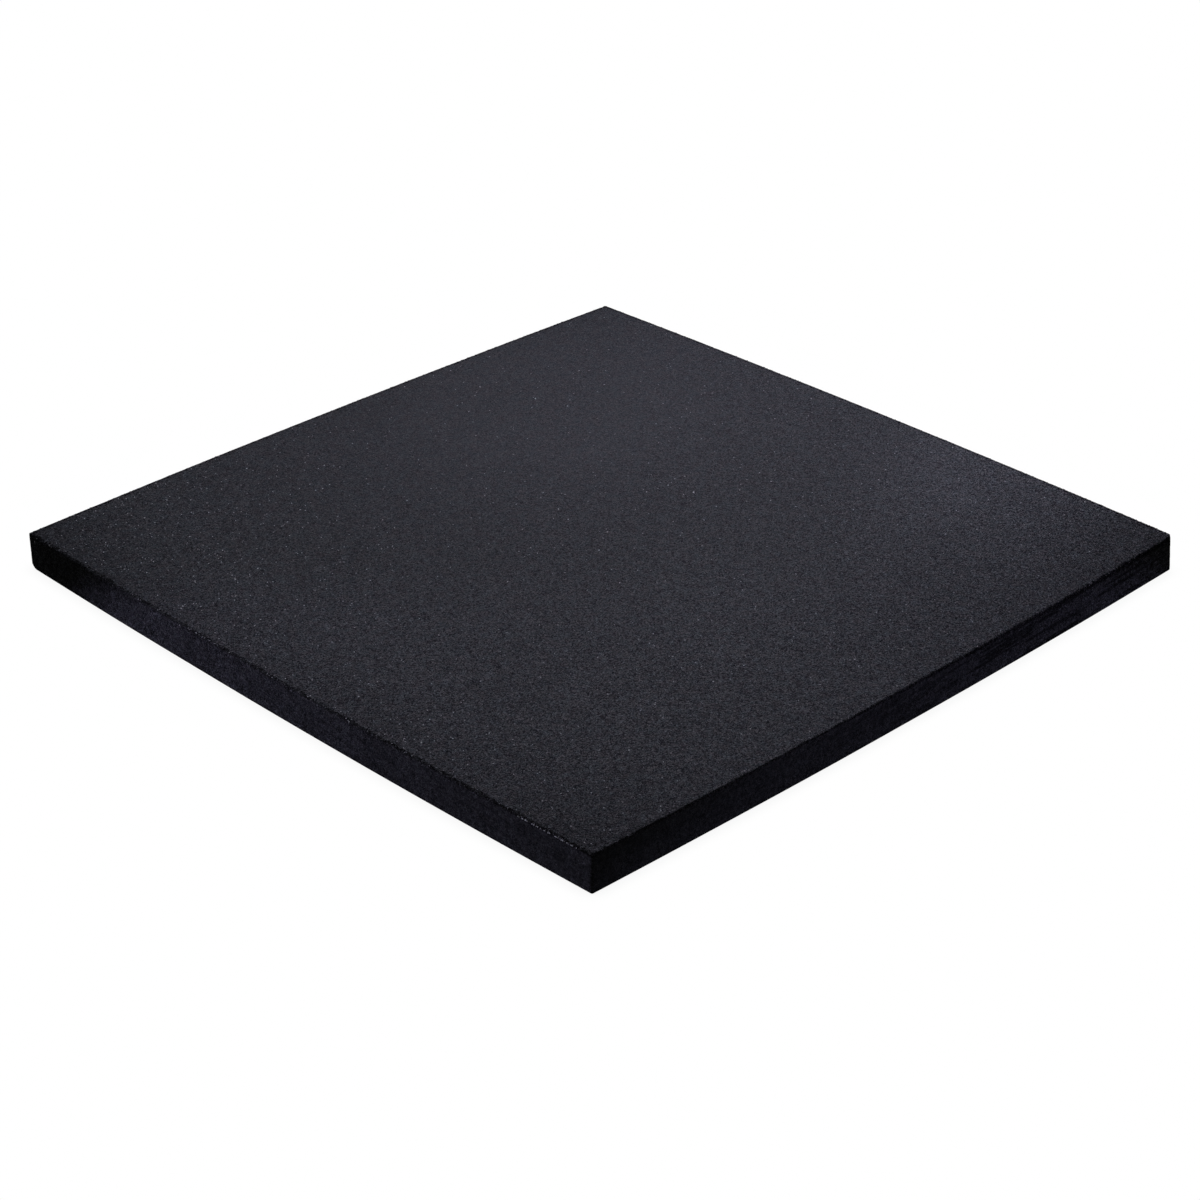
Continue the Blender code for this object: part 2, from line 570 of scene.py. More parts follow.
bead_v = np.linspace(BEAD_FROM, BEAD_TO, BEADS) + random.normal(0, BEAD_SCATTER, BEADS)
bead_seats, bead_up = on_edge(np.full(BEADS, -1.0), bead_v, np.full(BEADS, BEAD_DROP))
bead_seats = bead_seats + bead_up * BEAD_RISE
dust_seats, dust_up = on_edge(np.full(DUST, -1.0), DUST_PLACES, DUST_DROPS)
seats = np.concatenate([face_seats, rim_seats, side_seats, bead_seats, dust_seats])
seats = worn(seats, FOOT_TIP, FOOT_WAY, FOOT_WEAR + FOOT_CLEARANCE)
seats = worn(seats, TOP_TIP, TOP_WAY, TOP_WEAR + TOP_CLEARANCE)
seat_up = np.concatenate([face_up, rim_up, side_up, bead_up, dust_up])
print(f"{len(seats)} standing crumbs")

# %% [markdown]
# Each crumb has a tone, which is one random number. Crumbs on the rim are darker, as painted shade
# like the dark band under them, and those on the -X half of the face are a little paler. The beads
# and the dust have tone 2, for which the material takes a near white: a painted highlight on the
# beads, the dust's own pale colour on the dust. A few crumbs have half that painted glint, and
# their tone is 1.5. They sit high on the rim at -X, and on any rim that is well towards +X.

# %% Tone of each crumb
# The rim crumbs' low tone is painted shade, like the dark band of the skin under them.
RIM_TONE = 0.12
SIDE_TONE = 0.5
# Tone 2 paints a highlight into the beads' colour, and gives the dust its pale colour.
SHINING = 2.0
# Tone 1.5 paints half that highlight into the glinting crumbs.
GLINTING = 1.5
GLINTING_SHARE = 0.12
GLINT_HIGHEST = 0.45
GLINT_PAST = 0.6
FACE_TONE = 0.45
PALER_AT_LEFT = 0.25

left_share = np.clip(-face_seats[:, 0] / HALF_SIDE, 0, 1)
face_tone = random.random(FACE_CRUMBS) * (FACE_TONE + PALER_AT_LEFT * left_share)
rim_tone = random.random(RIM_CRUMBS) * RIM_TONE
may_glint = ((rim_u == -1) & (rim_share < GLINT_HIGHEST)) | (rim_u > GLINT_PAST)
glints = may_glint & (random.random(RIM_CRUMBS) < GLINTING_SHARE)
rim_tone[glints] = GLINTING
side_tone = random.random(SIDE_CRUMBS) * SIDE_TONE
tone = np.concatenate([face_tone, rim_tone, side_tone, np.full(BEADS + DUST, SHINING)])
print(f"{int(glints.sum())} crumbs of the rim glint")

# %% [markdown]
# More crumbs are small than large. The beads and the glinting ones are smaller still, so that
# they show as points of light.

# %% Shape of the crumbs
SMALL_CRUMB = 1.3 * MM
LARGE_CRUMB = 2.5 * MM
BEAD_SIZE = 0.55
GLINT_SIZE = 0.6
SIZE_POWER = 1.6
CRUMB_SHAPE = np.array([1.0, 0.8, 0.6])
CORNER_SHIFT = 0.42
STANDS_PROUD = 0.5 * MM
PROUD_POWER = 1.5


def random_turns(number):
    """Rotation matrices in every direction alike, from unit quaternions drawn from a normal."""
    q = random.normal(size=(number, 4))
    w, x, y, z = (q / np.linalg.norm(q, axis=1, keepdims=True)).T
    return np.stack(
        [
            np.stack([1 - 2 * (y * y + z * z), 2 * (x * y - z * w), 2 * (x * z + y * w)], axis=-1),
            np.stack([2 * (x * y + z * w), 1 - 2 * (x * x + z * z), 2 * (y * z - x * w)], axis=-1),
            np.stack([2 * (x * z - y * w), 2 * (y * z + x * w), 1 - 2 * (x * x + y * y)], axis=-1),
        ],
        axis=1,
    )


def crumb_points(seats, up, size):
    """Eight corners for each crumb.

    A block with sides of 1, 0.8 and 0.6 times its size has each corner shifted at random and is
    turned any way. It is then slid along the seat's way up until its highest corner stands just
    so far out of the skin. The skin lies as deep below the seat as the crumb may stand proud. The
    mould held every crumb in, so no corner may pass the slab's own box.
    """
    number = len(seats)
    block = np.array(list(np.ndindex(2, 2, 2))) - 0.5
    shift = (random.random((number, 8, 3)) - 0.5) * CORNER_SHIFT
    corners = (block + shift) * CRUMB_SHAPE * size[:, None, None]
    corners = np.einsum("nij,nkj->nki", random_turns(number), corners)
    reach = np.einsum("nki,ni->nk", corners, up).max(axis=1)
    slide = (random.random(number) ** PROUD_POWER - 1) * STANDS_PROUD - reach
    corners = corners + (seats + up * slide[:, None])[:, None]
    return np.clip(corners, np.array(low), np.array(high))


size_share = random.random(len(seats)) ** SIZE_POWER
crumb_size = SMALL_CRUMB + (LARGE_CRUMB - SMALL_CRUMB) * size_share
crumb_size[-BEADS - DUST : -DUST] *= BEAD_SIZE
crumb_size[tone == GLINTING] *= GLINT_SIZE
crumb_corners = crumb_points(seats, seat_up, crumb_size)
block_faces = np.array(
    [(0, 1, 3, 2), (4, 6, 7, 5), (0, 4, 5, 1), (2, 3, 7, 6), (0, 2, 6, 4), (1, 5, 7, 3)]
)
crumb_faces = (np.arange(len(seats))[:, None, None] * 8 + block_faces).reshape(-1, 4)
print(f"crumbs of {crumb_size.min() / MM:.1f} to {crumb_size.max() / MM:.1f} mm")

# %% [markdown]
# Each crumb gets a square of the map, with its six faces in two rows of three.

# %% Make the crumbs
cells = math.ceil(math.sqrt(len(seats)))
cell = np.stack(np.divmod(np.arange(len(seats)), cells), axis=-1)[:, None, None]
face_cell = np.array([(i % 3 / 3, i // 3 / 2) for i in range(6)])[None, :, None]
face_corner = np.array([(0.06, 0.08), (0.27, 0.08), (0.27, 0.42), (0.06, 0.42)])
crumb_layout = (cell + face_cell + face_corner) / cells
crumbs = new_piece(
    "standing_crumbs",
    crumb_corners.reshape(-1, 3),
    crumb_faces.tolist(),
    crumb_layout,
    {"tone": np.repeat(tone, 8)},
)

# %% [markdown]
# ## Materials
#
# Colours are written as hex values, and one function converts them to the linear light that the
# shaders work in. A second small function adds a node, sets it up and links it. A third holds
# the limits of a range, so that each range can have a name.

# %% Helpers for colours and nodes
TIMES = {"operation": "MULTIPLY"}
TIMES_PLUS = {"operation": "MULTIPLY_ADD"}
LESS = {"operation": "SUBTRACT"}
DISTANCE_FROM = {"operation": "DISTANCE"}
SCALED_BY = {"operation": "SCALE"}
OF_NUMBERS = {"data_type": "FLOAT"}
OF_COLOURS = {"data_type": "RGBA"}


def linear(hex_colour):
    """The linear colour of an sRGB hex value: a straight part near black and a power above it."""
    parts = [int(hex_colour[i : i + 2], 16) / 255 for i in (1, 3, 5)]
    light = [p / 12.92 if p <= 0.04045 else ((p + 0.055) / 1.055) ** 2.4 for p in parts]
    return (*light, 1.0)


def node(tree, kind, settings=None, inputs=None):
    """Adds a node, sets its properties, and links or fills its sockets by name or number.

    A socket takes a plain value, an output of another node, or a node, which stands for its own
    first output.
    """
    added = tree.nodes.new("ShaderNode" + kind)
    for name, value in (settings or {}).items():
        setattr(added, name, value)
    for socket, value in (inputs or {}).items():
        if isinstance(value, bpy.types.Node):
            value = value.outputs[0]
        if isinstance(value, bpy.types.NodeSocket):
            tree.links.new(value, added.inputs[socket])
        else:
            added.inputs[socket].default_value = value
    return added


def ramp(came, goes=(0.0, 1.0)):
    """The limits of a range: what comes in between the first two goes out between the others."""
    return {"From Min": came[0], "From Max": came[1], "To Min": goes[0], "To Max": goes[1]}


def new_material(name):
    """An empty node material, and the function that adds a node to it."""
    material = bpy.data.materials.new(name)
    material.use_nodes = True
    material.node_tree.nodes.clear()
    return material, partial(node, material.node_tree)


def give(piece, material):
    """Puts the material on the piece."""
    piece.data.materials.append(material)
    print(f"{material.name}: {len(material.node_tree.nodes)} nodes")


# %% [markdown]
# ## Bonded crumb rubber
#
# Black tyre rubber ground to granules and glued with resin. Each granule is a cut facet that
# faces its own way, so a plain smooth black would look like paint. The finish is built in steps,
# and each step is a function of its own.
#
# First come the granules. A Voronoi pattern at their size makes one cell for each. The distance to
# the cell's edge gives the seams between them, which are later darkened as painted shade, and the
# cell's random colour gives each granule three chances of its own. A second, finer pattern is the
# grit that fills the gaps.

# %% Cells of the granules and of the grit
GRANULE = 1.4 * MM
GRIT = 0.7 * MM
SEAM = ramp((0.0, 0.16))  # its width, in granules


def granule_cells(add, place):
    """The granules, their chances, those of the grit, and how far off a seam a point is.

    The last rises smoothly from 0 on the seam to 1 at the seam's width away from it.
    """
    at_granules = {"Vector": place, "Scale": 1 / GRANULE}
    granules = add("TexVoronoi", {"feature": "F1"}, at_granules)
    chance = add("SeparateXYZ", inputs={"Vector": granules.outputs["Color"]})
    grit = add("TexVoronoi", {"feature": "F1"}, {"Vector": place, "Scale": 1 / GRIT})
    grit_chance = add("SeparateXYZ", inputs={"Vector": grit.outputs["Color"]})
    seams = add("TexVoronoi", {"feature": "DISTANCE_TO_EDGE"}, at_granules)
    from_seam = {"Value": seams.outputs["Distance"], **SEAM}
    off_seam = add("MapRange", {"interpolation_type": "SMOOTHSTEP"}, from_seam)
    return granules, chance, grit_chance, off_seam


# %% [markdown]
# The press left each granule tipped a little its own way. Real geometry at this size would take
# millions of faces, so a bump does it.

# %% Height of the granules
TIP = 1.1
GRIT_STEP = 0.5


def granule_height(add, place, granules, grit_chance, off_seam):
    """The way off the seam, plus the slope, plus the grit's own chance.

    The slope is the place within the cell, in granules, times the cell's random colour less a
    half, axis by axis and added up.
    """
    scaled = add("VectorMath", SCALED_BY, {0: place, "Scale": 1 / GRANULE})
    within = add("VectorMath", LESS, {0: scaled, 1: granules.outputs["Position"]})
    lean = add("VectorMath", LESS, {0: granules.outputs["Color"], 1: (0.5, 0.5, 0.5)})
    slope = add("VectorMath", {"operation": "DOT_PRODUCT"}, {0: within, 1: lean})
    tipped = add("Math", TIMES_PLUS, {0: slope.outputs["Value"], 1: TIP, 2: off_seam})
    return add("Math", TIMES_PLUS, {0: grit_chance.outputs["Y"], 1: GRIT_STEP, 2: tipped})


# %% [markdown]
# One part of the face was pressed flatter than the rest, so the grain is calmest there and gets
# coarser with the distance from it, and once more towards the corner that faces +X and -Y. The
# sides are smoothest near the corner that faces -X and -Y.

# %% Coarseness of the grain
CALM_SPOT = (0.2, 0.32, THICKNESS)
OFF_CALM = ramp((0.15, 0.72), (0.55, 1.42))
ROUGH_CORNER = (0.45, -0.45, THICKNESS)
OFF_ROUGH = ramp((0.1, 0.38), (0.35, 0.0))
ALONG_WALL = ramp((-1.0, -0.2), (0.35, 1.0))


def coarseness(add, place, parts, on_side):
    """The grain by the distances from the calm spot and the rough corner, times the wall's share.

    The wall's share follows x plus y, and it counts only on the sides.
    """
    from_calm = add("VectorMath", DISTANCE_FROM, {0: place, 1: CALM_SPOT})
    even = add("MapRange", inputs={"Value": from_calm.outputs["Value"], **OFF_CALM})
    from_rough = add("VectorMath", DISTANCE_FROM, {0: place, 1: ROUGH_CORNER})
    rougher = add("MapRange", inputs={"Value": from_rough.outputs["Value"], **OFF_ROUGH})
    grain = add("Math", {"operation": "ADD"}, {0: even, 1: rougher})
    along = add("Math", {"operation": "ADD"}, {0: parts.outputs["X"], 1: parts.outputs["Y"]})
    wall = add("MapRange", inputs={"Value": along, **ALONG_WALL})
    side_grain = add("Mix", OF_NUMBERS, {"Factor": on_side, 2: 1.0, 3: wall})
    return add("Math", TIMES, {0: grain, 1: side_grain})


# %% [markdown]
# Granules differ in how much pale film they carry, and so do the bits of grit. The flatter the
# face, the less of that shows. Here and there a granule of the face glints: the glint is painted
# into its colour as well as raising its shine. Such flecks are more common, and brighter, near one
# corner and along the rim at -X.

# %% Tone of the granules, and the flecks of painted glint
GRANULE_TONE = ramp((0.0, 1.0), (0.25, 1.75))
GRIT_TONE = ramp((0.0, 1.0), (0.35, 1.65))
FLECK_CORNER = (-0.5, 0.5, THICKNESS)
IN_FROM_RIM = 2.0
AT_RIM = 1.28  # makes the rim at x = -0.5 count as 0.28 m away from the corner
FLECK_RARITY = ramp((0.1, 0.55), (0.9935, 0.9984))
# How strongly a fleck's glint is painted into its colour, and how much it raises its shine.
FLECK_GLINT_PAINT_AND_SHINE = ramp((0.1, 0.55), (22.0, 12.0))


def granule_tone(add, chance, grit_chance, coarse):
    """The granule's tone times the grit's, to the power of the coarseness."""
    granule = add("MapRange", inputs={"Value": chance.outputs["X"], **GRANULE_TONE})
    grit = add("MapRange", inputs={"Value": grit_chance.outputs["X"], **GRIT_TONE})
    both = add("Math", TIMES, {0: granule, 1: grit})
    return add("Math", {"operation": "POWER"}, {0: both, 1: coarse})


def with_painted_glints(add, place, parts, chance, on_side, tone):
    """The tone, plus a fleck's painted glint where the chance beats its rarity, on the face only.

    Rarity and shine follow the distance from the corner, or twice the way in from the rim and a
    bit more, whichever is less.
    """
    from_corner = add("VectorMath", DISTANCE_FROM, {0: place, 1: FLECK_CORNER})
    from_rim = add("Math", TIMES_PLUS, {0: parts.outputs["X"], 1: IN_FROM_RIM, 2: AT_RIM})
    two_ways = {0: from_corner.outputs["Value"], 1: from_rim}
    near = add("Math", {"operation": "MINIMUM"}, two_ways)
    rarity = add("MapRange", inputs={"Value": near, **FLECK_RARITY})
    shine = add("MapRange", inputs={"Value": near, **FLECK_GLINT_PAINT_AND_SHINE})
    rare = {0: chance.outputs["Z"], 1: rarity}
    is_fleck = add("Math", {"operation": "GREATER_THAN"}, rare)
    on_face = add("Math", LESS, {0: 1.0, 1: on_side})
    fleck = add("Math", TIMES, {0: is_fleck, 1: on_face})
    return add("Math", TIMES_PLUS, {0: fleck, 1: shine, 2: tone})


# %% [markdown]
# The film isn't of one colour. Cool and warm patches a few granules wide lie side by side, and the
# sides have less of the warm one.

# %% Colour of the film
COOL_RUBBER = linear("#25292f")
WARM_RUBBER = linear("#2d272b")
HUE_PATCH = 9 * MM
HUE_BLEND = ramp((0.35, 0.65))
WARMTH_ON_SIDES = 0.4


def film_colour(add, place, on_side):
    """Noise blends from the cool colour to the warm one, by a smaller share on the sides."""
    patch = add("TexNoise", inputs={"Vector": place, "Scale": 1 / HUE_PATCH, "Detail": 2.0})
    hue = add("MapRange", inputs={"Value": patch.outputs["Fac"], **HUE_BLEND})
    warmth = add("Mix", OF_NUMBERS, {"Factor": on_side, 2: 1.0, 3: WARMTH_ON_SIDES})
    warm = add("Math", TIMES, {0: hue, 1: warmth})
    blend = {"Factor": warm, 6: COOL_RUBBER, 7: WARM_RUBBER}
    return add("Mix", OF_COLOURS, blend).outputs[2]


# %% [markdown]
# The dark band is painted shade. Its place came with the mesh. Noise and each granule's own chance
# make its limits ragged, and some granules inside it take only part of the shade. The streaks of
# the sides are darkened too. They are noise drawn out along the sides, and they are strong only
# towards +X.

# %% Painted rim shade and streaks
WAVER_SIZE = 5 * MM
WAVER = 0.8
RAGGED = 0.5
BAND_OPENS = ramp((0.72, 0.84))
BAND_CLOSES = ramp((1.48, 1.62), (1.0, 0.0))
# Each granule's share of the painted shade in the rim band.
GRANULE_SHARE_OF_SHADE = ramp((0.15, 0.4), (0.3, 1.0))
STREAK_STRETCH = (1 / 80, 1 / 80, 1 / 6)  # streaks of 80 by 6 mm
STREAK_SHOWS = ramp((0.53, 0.6), (0.0, 0.75))
STREAKS_ALONG = ramp((-0.1, 0.15), (0.3, 1.0))


def painted_rim_shade(add, place, chance):
    """1 between the band's ragged limits and 0 outside them, times each granule's share of the
    shade.

    Noise and chance add about 0.65 to the place in the band, so its limits lie that much higher
    than 0 and 1.
    """
    band = add("Attribute", {"attribute_name": "band"}).outputs["Fac"]
    waver = add("TexNoise", inputs={"Vector": place, "Scale": 1 / WAVER_SIZE, "Detail": 3.0})
    slow = add("Math", TIMES_PLUS, {0: waver.outputs["Fac"], 1: WAVER, 2: band})
    ragged = add("Math", TIMES_PLUS, {0: chance.outputs["Y"], 1: RAGGED, 2: slow})
    opens = add("MapRange", inputs={"Value": ragged, **BAND_OPENS})
    closes = add("MapRange", inputs={"Value": ragged, **BAND_CLOSES})
    within = add("Math", TIMES, {0: opens, 1: closes})
    shade_share = add("MapRange", inputs={"Value": chance.outputs["Z"], **GRANULE_SHARE_OF_SHADE})
    return add("Math", TIMES, {0: within, 1: shade_share})


def side_streaks(add, place, parts, on_side):
    """Stretched noise above a threshold, on the sides only, by a share that rises with x."""
    stretched = add("VectorMath", TIMES, {0: place, 1: STREAK_STRETCH})
    streak = add("TexNoise", inputs={"Vector": stretched, "Scale": 1 / MM, "Detail": 2.0})
    shows = add("MapRange", inputs={"Value": streak.outputs["Fac"], **STREAK_SHOWS})
    along = add("MapRange", inputs={"Value": parts.outputs["X"], **STREAKS_ALONG})
    here = add("Math", TIMES, {0: shows, 1: on_side})
    return add("Math", TIMES, {0: here, 1: along})


# %% [markdown]
# Painted shade darkens the rim band, the seams between the granules, the face and sides close to
# the -X side, and a line along the foot, where the side turns under. The streaks are dark, and the
# sides are smudged.

# %% Shade
SEAM_SHADE = ramp((0.0, 1.0), (0.35, 1.0))
# Painted shade near the -X side, by x.
MINUS_X_PAINTED_SHADE = ramp((-0.5, -0.4), (0.83, 1.0))
# Painted shade of the rim band, and the dark of the streaks.
RIM_SHADE_AND_STREAK_DARKNESS = ramp((0.0, 1.0), (1.0, 0.12))
SMUDGE = 6 * MM
SMUDGE_SHADE = ramp((0.35, 0.65), (0.7, 1.3))
FOOT_START = RIM_ARC + SIDE_HEIGHT
# Painted shadow along the foot, where the side turns under.
FOOT_PAINTED_SHADOW = ramp((FOOT_START - 1.5 * MM, FOOT_START), (1.0, 0.25))


def slab_shade(add, place, parts, drop, on_side, off_seam, rim_shade_and_streaks):
    """Painted shade at seams, near -X, on the rim band and at the foot, and the smudges,
    multiplied.
    """
    # Painted shade in the seams between the granules.
    seam = add("MapRange", inputs={"Value": off_seam, **SEAM_SHADE})
    # Painted shade near -X, where the face and the sides are a little darker.
    film = add("MapRange", inputs={"Value": parts.outputs["X"], **MINUS_X_PAINTED_SHADE})
    dark = add("MapRange", inputs={"Value": rim_shade_and_streaks, **RIM_SHADE_AND_STREAK_DARKNESS})
    patch = add("TexNoise", inputs={"Vector": place, "Scale": 1 / SMUDGE, "Detail": 2.0})
    smudge = add("MapRange", inputs={"Value": patch.outputs["Fac"], **SMUDGE_SHADE})
    side = add("Mix", OF_NUMBERS, {"Factor": on_side, 2: 1.0, 3: smudge})
    # Painted shadow at the foot.
    foot_shadow = add("MapRange", inputs={"Value": drop, **FOOT_PAINTED_SHADOW})
    shade = seam
    for factor in (film, dark, side, foot_shadow):
        shade = add("Math", TIMES, {0: shade, 1: factor})
    return shade


# %% [markdown]
# The steps come together in one shader. Tone and shade scale the film's colour and its shine,
# as a dark granule has no film to shine. So the painted shade dims the shine as well, and a fleck's
# tone paints its glint into the colour as well as the shine. Rubber is matt, and some granules
# more than others.

# %% Bonded crumb material
SIDE_STARTS = ramp((4 * MM, 6 * MM))
BUMP_DEPTH = 0.7 * MM
GRANULE_ROUGHNESS = ramp((0.0, 1.0), (0.5, 0.85))
FILM_SHINE = 0.45
RUBBER_IOR = 1.5


def rubber_surface(add, colour, rough, shine, bump):
    """What both rubbers end in: one shader, with the usual IOR of rubber, and the output."""
    looks = {"Base Color": colour, "Roughness": rough, "Specular IOR Level": shine}
    shader = add("BsdfPrincipled", inputs={**looks, "IOR": RUBBER_IOR, "Normal": bump})
    add("OutputMaterial", inputs={"Surface": shader})


def bonded_crumb_rubber():
    """The pressed granules of the slab, tipped cell by cell, with a band of painted shade at the
    rim.
    """
    material, add = new_material("bonded_crumb_rubber")
    place = add("TexCoord").outputs["Object"]
    parts = add("SeparateXYZ", inputs={"Vector": place})
    drop = add("Attribute", {"attribute_name": "drop"}).outputs["Fac"]
    on_side = add("MapRange", inputs={"Value": drop, **SIDE_STARTS})

    granules, chance, grit_chance, off_seam = granule_cells(add, place)
    height = granule_height(add, place, granules, grit_chance, off_seam)
    coarse = coarseness(add, place, parts, on_side)
    bump = add("Bump", inputs={"Strength": coarse, "Distance": BUMP_DEPTH, "Height": height})

    plain_tone = granule_tone(add, chance, grit_chance, coarse)
    tone = with_painted_glints(add, place, parts, chance, on_side, plain_tone)
    band = painted_rim_shade(add, place, chance)
    streaks = side_streaks(add, place, parts, on_side)
    # The painted shade of the rim band, or the dark of the streaks where that is more.
    rim_shade_and_streaks = add("Math", {"operation": "MAXIMUM"}, {0: band, 1: streaks})
    shade = slab_shade(add, place, parts, drop, on_side, off_seam, rim_shade_and_streaks)

    film = film_colour(add, place, on_side)
    granular = add("VectorMath", SCALED_BY, {0: film, "Scale": tone})
    colour = add("VectorMath", SCALED_BY, {0: granular, "Scale": shade})
    rough = add("MapRange", inputs={"Value": chance.outputs["Y"], **GRANULE_ROUGHNESS})
    sheen = add("Math", TIMES, {0: tone, 1: shade})
    level = add("Math", TIMES, {0: sheen, 1: FILM_SHINE})
    rubber_surface(add, colour, rough, level, bump)
    return material


give(mat, bonded_crumb_rubber())

# %% [markdown]
# ## Cut crumb rubber
#
# The standing crumbs are single granules of the same rubber. Cut rubber is denser and a little
# glossier than the bonded face, and some facets glint: that glint is painted into their colour.

# %% Cut crumb material
DARK_CRUMB = linear("#121215")
PALE_CRUMB = linear("#3a3b42")
# Near white: the painted highlight of the beads and glinting crumbs, and the dust's pale colour.
GLINT_AND_DUST_WHITE = linear("#d8d9df")
SCRATCH = 0.5 * MM
SCRATCH_DEPTH = 0.1 * MM
SCRATCH_STRENGTH = 0.4
MOTTLE = 1.6
FACET_ROUGHNESS = ramp((0.3, 0.7), (0.35, 0.6))
SHINE_BY_TONE = 0.6
LEAST_SHINE = 0.1


def cut_crumb_rubber():
    """Single granules: the tone of each comes from its own number, with fine scratches on it.

    The tone times the scratches' noise blends from dark to pale. Whatever the tone has above 1
    then blends on to a near white: the painted highlight of the beads and glinting crumbs, and
    the pale colour of the dust.
    """
    material, add = new_material("cut_crumb_rubber")
    place = add("TexCoord").outputs["Object"]
    tone = add("Attribute", {"attribute_name": "tone"}).outputs["Fac"]
    grain = add("TexNoise", inputs={"Vector": place, "Scale": 1 / SCRATCH, "Detail": 2.0})
    grain = grain.outputs["Fac"]
    mottle = add("Math", TIMES, {0: tone, 1: grain})
    paleness = add("Math", {**TIMES, "use_clamp": True}, {0: mottle, 1: MOTTLE})
    dry = add("Mix", OF_COLOURS, {"Factor": paleness, 6: DARK_CRUMB, 7: PALE_CRUMB})
    # How far the crumb turns near white: painted highlight, or the dust's own colour.
    glint_and_dust_share = add("Math", {**LESS, "use_clamp": True}, {0: tone, 1: 1.0})
    shown = add("Mix", OF_COLOURS, {"Factor": glint_and_dust_share, 6: dry.outputs[2], 7: GLINT_AND_DUST_WHITE})
    rough = add("MapRange", inputs={"Value": grain, **FACET_ROUGHNESS})
    level = add("Math", TIMES_PLUS, {0: tone, 1: SHINE_BY_TONE, 2: LEAST_SHINE})
    scratches = {"Strength": SCRATCH_STRENGTH, "Distance": SCRATCH_DEPTH, "Height": grain}
    bump = add("Bump", inputs=scratches)
    rubber_surface(add, shown.outputs[2], rough, level, bump)
    return material


give(crumbs, cut_crumb_rubber())

# %% [markdown]
# ## Camera
#
# The camera looks down on one corner of the mat through a long lens.

# %% Camera
LENS = 88.8
SENSOR = 36.0
AZIMUTH = math.radians(-44.22)
ELEVATION = math.radians(29.09)
ROLL = math.radians(-0.25)
DISTANCE = 3.606
AIM = Vector((-0.0553, -0.0567, 0.0))

camera_data = bpy.data.cameras.new("camera")
camera_data.lens = LENS
camera_data.sensor_width = SENSOR
camera = bpy.data.objects.new("camera", camera_data)
bpy.context.scene.collection.objects.link(camera)
bpy.context.scene.camera = camera
back = Vector(
    (
        math.sin(AZIMUTH) * math.cos(ELEVATION),
        -math.cos(AZIMUTH) * math.cos(ELEVATION),
        math.sin(ELEVATION),
    )
)
right = Vector((math.cos(AZIMUTH), math.sin(AZIMUTH), 0.0))
level = Matrix((right, back.cross(right), back)).transposed()
rolled = level @ Matrix.Rotation(ROLL, 3, "Z")
camera.matrix_world = Matrix.Translation(AIM + back * DISTANCE) @ rolled.to_4x4()
print(f"camera {DISTANCE:.2f} m away, {math.degrees(ELEVATION):.0f} degrees above the floor")

# %% [markdown]
# ## Floor
#
# The mat lies on a plain white floor that runs out of the picture. A floor that the lamps light
# would show their pools and their edges. This one gives off white by itself, and dims only in the
# narrow gap where the mat's foot shuts out the light. It throws no light back at the mat, or the
# black sides would turn grey.

# %% Floor
FLOOR_HALF = 40.0
CONTACT_REACH = 0.02
CONTACT_SHADE = ramp((0.5, 0.95), (0.93, 1.0))


def pale_floor():
    """White that dims a little where the mat shuts out the light close to it."""
    material, add = new_material("pale_floor")
    open_sky = add("AmbientOcclusion", {"samples": 8}, {"Distance": CONTACT_REACH})
    white = add("MapRange", inputs={"Value": open_sky.outputs["AO"], **CONTACT_SHADE})
    light = add("Emission", inputs={"Color": white})
    add("OutputMaterial", inputs={"Surface": light})
    return material


floor_mesh = bpy.data.meshes.new("floor")
ways = ((-1, -1), (1, -1), (1, 1), (-1, 1))
floor_corners = [(x * FLOOR_HALF, y * FLOOR_HALF, 0.0) for x, y in ways]
floor_mesh.from_pydata(floor_corners, [], [(0, 1, 2, 3)])
floor = bpy.data.objects.new("floor", floor_mesh)
give(floor, pale_floor())
bpy.context.scene.collection.objects.link(floor)
floor.visible_diffuse = False
floor.visible_glossy = False

# %% [markdown]
# ## Light
#
# Black rubber shows only what little light it throws back, and each facet throws it its own way.
# So the light comes mostly from behind and glances off the face towards the camera. A large
# softbox and a pool lamp hang above the back, and the pool keeps to the middle. A low softbox, a
# narrow spot and three fills even out the rest of the face. Two snooted lamps stand low beside the
# near sides, and the edge of each one's cone leaves the far end of its side in the dark. The
# surroundings are white to the camera, but give the mat only a little light.

# %% Surrounding light
SURROUND = 0.052
PURE_WHITE = linear("#ffffff")

world = bpy.data.worlds.new("studio")
world.use_nodes = True
world.node_tree.nodes.clear()
add = partial(node, world.node_tree)
seen = add("LightPath").outputs["Is Camera Ray"]
dim = add("Background", inputs={"Color": PURE_WHITE, "Strength": SURROUND})
white = add("Background", inputs={"Color": PURE_WHITE, "Strength": 1.0})
both = add("MixShader", inputs={0: seen, 1: dim, 2: white})
add("OutputWorld", inputs={"Surface": both})
bpy.context.scene.world = world


def lamp(name, kind, place, aim, power, colour, settings):
    """A lamp of a kind at a place, turned to face its aim, with its power in watts."""
    data = bpy.data.lights.new(name, kind)
    data.energy = power
    data.color = linear(colour)[:3]
    for setting, value in settings.items():
        setattr(data, setting, value)
    held = bpy.data.objects.new(name, data)
    held.location = place
    held.rotation_euler = (Vector(aim) - Vector(place)).to_track_quat("-Z", "Y").to_euler()
    bpy.context.scene.collection.objects.link(held)


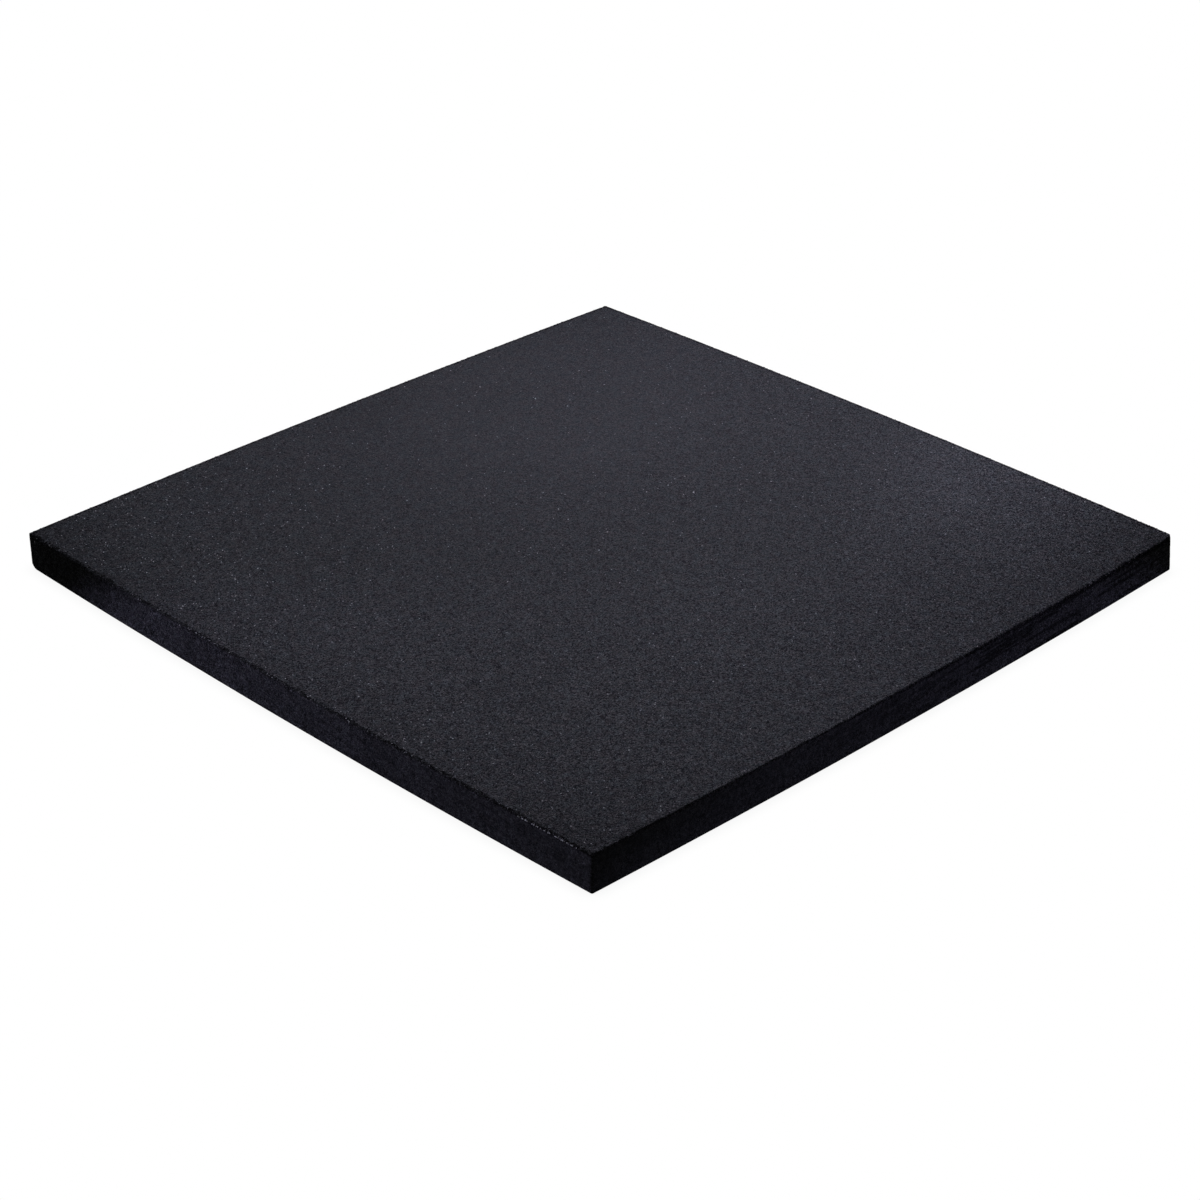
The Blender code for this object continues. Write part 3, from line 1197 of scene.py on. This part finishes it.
def spot(name, place, aim, power, colour, cone, blend, bulb):
    """A spot lamp, by its cone in degrees, the soft share of the cone and its bulb's radius."""
    settings = {"spot_size": math.radians(cone), "spot_blend": blend, "shadow_soft_size": bulb}
    lamp(name, "SPOT", place, aim, power, colour, settings)


# %% Lamps above and behind
COOL_WHITE = "#f0f1ff"
BLUE_WHITE = "#e3e4ff"
SKY_WHITE = "#e0e7ff"
SPREAD = math.radians(100)
SQUARE_BOX = {"shape": "SQUARE", "size": 1.2, "spread": SPREAD}
LONG_BOX = {"shape": "RECTANGLE", "size": 1.2, "size_y": 0.5, "spread": SPREAD}

lamp("softbox", "AREA", (0.6, 1.3, 1.7), (0.2, 0.3, THICKNESS), 2.2, COOL_WHITE, SQUARE_BOX)
spot("pool_lamp", (0.8, 0.95, 1.9), (0.08, 0.2, THICKNESS), 91.0, COOL_WHITE, 39, 0.6, 0.12)
lamp("rear_softbox", "AREA", (2.4, 1.2, 1.0), (0.5, 0.0, THICKNESS), 4.4, BLUE_WHITE, LONG_BOX)
spot("right_spot", (1.9, 0.5, 1.5), (0.49, -0.255, THICKNESS), 100.0, BLUE_WHITE, 10.5, 0.8, 0.1)
spot("back_fill", (1.9, 1.0, 1.6), (0.43, 0.16, THICKNESS), 13.0, BLUE_WHITE, 22, 1.0, 0.15)
spot("left_fill", (-0.3, 2.3, 1.4), (-0.3, 0.15, THICKNESS), 52.0, SKY_WHITE, 28, 1.0, 0.2)
spot("front_fill", (0.9, 0.6, 1.7), (-0.13, -0.32, THICKNESS), 8.0, COOL_WHITE, 17, 1.0, 0.15)

# %% Lamps beside the near sides
LEFT_WHITE = "#dfdaff"
RIGHT_WHITE = "#d4cfff"

spot("left_snoot", (-1.2, 0.7, 0.12), (-0.5, -0.131, -0.65), 26.0, LEFT_WHITE, 71.2, 0.035, 0.03)
spot("right_snoot", (0.75, -1.15, 0.12), (0.024, -0.5, -0.66), 9.8, RIGHT_WHITE, 75.3, 0.1, 0.03)
print(f"{len(bpy.data.lights)} lamps")

bpy.context.scene.view_settings.view_transform = "Standard"
